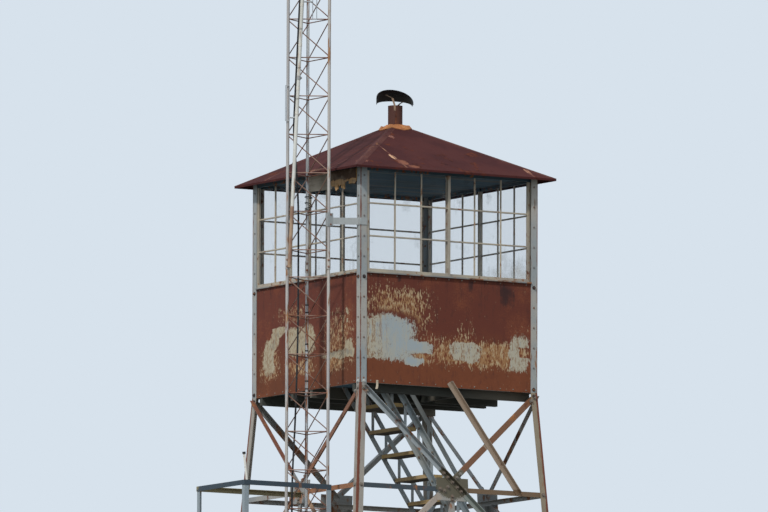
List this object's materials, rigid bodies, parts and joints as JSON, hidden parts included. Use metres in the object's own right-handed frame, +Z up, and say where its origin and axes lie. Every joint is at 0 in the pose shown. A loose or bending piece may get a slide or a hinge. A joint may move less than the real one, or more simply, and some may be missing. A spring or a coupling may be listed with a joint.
{
  "type": "fire lookout tower",
  "caption": "Steel fire lookout tower: a square windowed cab on a tapering braced frame with a zig-zag stair, a railed side balcony and a lattice radio mast.",
  "frame": {"origin": "centre of the square plan at ground level", "axes": "+Z up; -Y is the south face, whose windows show at the right of the picture; -X is the west face, with the balcony and the mast"},
  "size_m": [4.884, 4.884, 21.5946],
  "materials": {
    "galvanised_steel": "weathered galvanised angle with rust streaks",
    "rusted_sheet": "rusted sheet with pale worn patches",
    "window_steel": "rusty painted sash steel",
    "roof_sheet": "dark red-brown rusted sheet",
    "weathered_wood": "grey weathered boards",
    "glass": "hazy window glass",
    "mast_steel": "galvanised tube with rusty rods",
    "aluminium": "dull drawn tube",
    "cable_black": "matt black jacket",
    "white_paint": "chalky white paint with a black knob"
  },
  "bodies": {
    "root": {"base_plates": "galvanised_steel", "leg_south_west": "galvanised_steel", "leg_north_west": "galvanised_steel", "leg_north_east": "galvanised_steel", "leg_south_east": "galvanised_steel", "leg_splices": "galvanised_steel", "bracing_south": "galvanised_steel", "bracing_west": "galvanised_steel", "bracing_north": "galvanised_steel", "bracing_east": "galvanised_steel", "stair_stringers": "galvanised_steel", "stair_handrails": "galvanised_steel", "stair_treads": "weathered_wood", "stair_landings": "weathered_wood", "landing_beams": "galvanised_steel", "corner_posts": "galvanised_steel", "cab_floor": "weathered_wood", "floor_frame": "weathered_wood", "panel_south": "rusted_sheet", "panel_west": "rusted_sheet", "panel_north": "rusted_sheet", "panel_east": "rusted_sheet", "windows_south": "window_steel", "windows_west": "window_steel", "windows_north": "window_steel", "windows_east": "window_steel", "panel_frames": "galvanised_steel", "window_sills": "window_steel", "window_glass": "glass", "head_plates": "window_steel", "ceiling": "weathered_wood", "roof_sheets": "roof_sheet", "hip_caps": "roof_sheet", "vent_collar": "roof_sheet", "vent_pipe": "roof_sheet", "vent_cap": "roof_sheet", "mast": "mast_steel", "mast_brackets": "mast_steel", "antenna_pole": "mast_steel", "antenna_loops": "aluminium", "feed_cable": "cable_black", "balcony_frame": "galvanised_steel", "balcony_deck": "weathered_wood", "balcony_railing": "galvanised_steel", "railing_pipe": "white_paint"}
  },
  "joints": []
}
